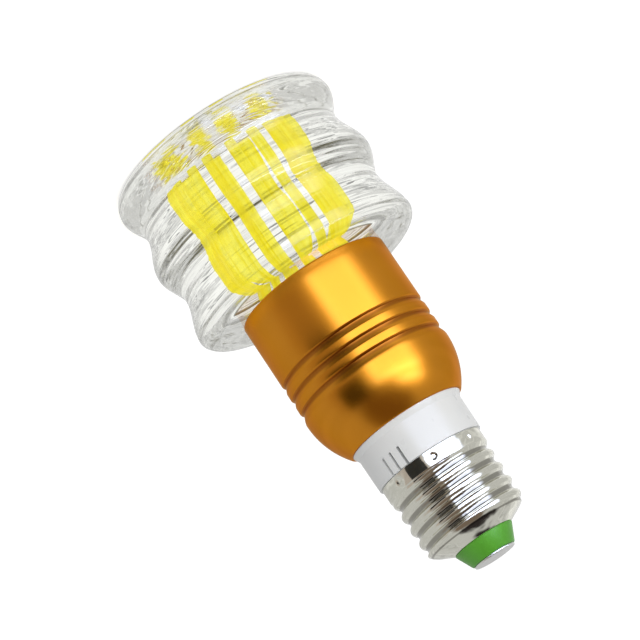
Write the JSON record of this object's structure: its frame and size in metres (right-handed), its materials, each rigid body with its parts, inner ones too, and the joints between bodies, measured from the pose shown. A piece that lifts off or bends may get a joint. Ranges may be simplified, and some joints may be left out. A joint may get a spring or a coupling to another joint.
{
  "type": "colour changing led bulb",
  "caption": "LED bulb with a wavy clear turned head around a ring of yellow rods, a grooved gold housing, a white collar and a nickel screw cap with a green insulated tip.",
  "frame": {"origin": "centre of the clear head's flat end face, on which the bulb stands", "axes": "+Z along the bulb's axis from the clear end face to the end contact; -Y towards the viewer of the picture"},
  "size_m": [0.059, 0.059, 0.1185],
  "materials": {
    "clear_acrylic": "clear, polished",
    "yellow_acrylic": "translucent yellow",
    "gold_aluminium": "gold anodised, polished",
    "bare_aluminium": "machined",
    "grey_pad": "matt",
    "white_board": "white solder mask",
    "red_emitter": "clear tinted lens",
    "green_emitter": "clear tinted lens",
    "blue_emitter": "clear tinted lens",
    "steel": "zinc plated",
    "red_insulation": "satin",
    "black_insulation": "satin",
    "liner_plastic": "satin",
    "green_board": "solder mask",
    "ferrite": "matt",
    "capacitor_sleeve": "shrink sleeve",
    "black_moulding": "matt",
    "resistor_body": "matt lacquer",
    "white_plastic": "gloss",
    "nickel": "nickel plated, bright",
    "green_insulator": "satin",
    "contact_metal": "bright"
  },
  "bodies": {
    "root": {"crystal_head": "clear_acrylic", "colour_rods": "yellow_acrylic", "housing": "gold_aluminium", "heat_plate": "bare_aluminium", "thermal_pad": "grey_pad", "led_board": "white_board", "led_red": "red_emitter", "led_green": "green_emitter", "led_blue": "blue_emitter", "board_screws": "steel", "led_wires": "red_insulation", "driver_liner": "liner_plastic", "driver_board": "green_board", "transformer": "ferrite", "bulk_capacitor": "capacitor_sleeve", "output_capacitor": "capacitor_sleeve", "rectifier": "black_moulding", "control_chip": "black_moulding", "fuse_resistor": "resistor_body", "live_wire": "red_insulation", "neutral_wire": "black_insulation", "collar": "white_plastic", "screw_shell": "nickel", "tip_insulator": "green_insulator", "centre_contact": "contact_metal"}
  },
  "joints": []
}
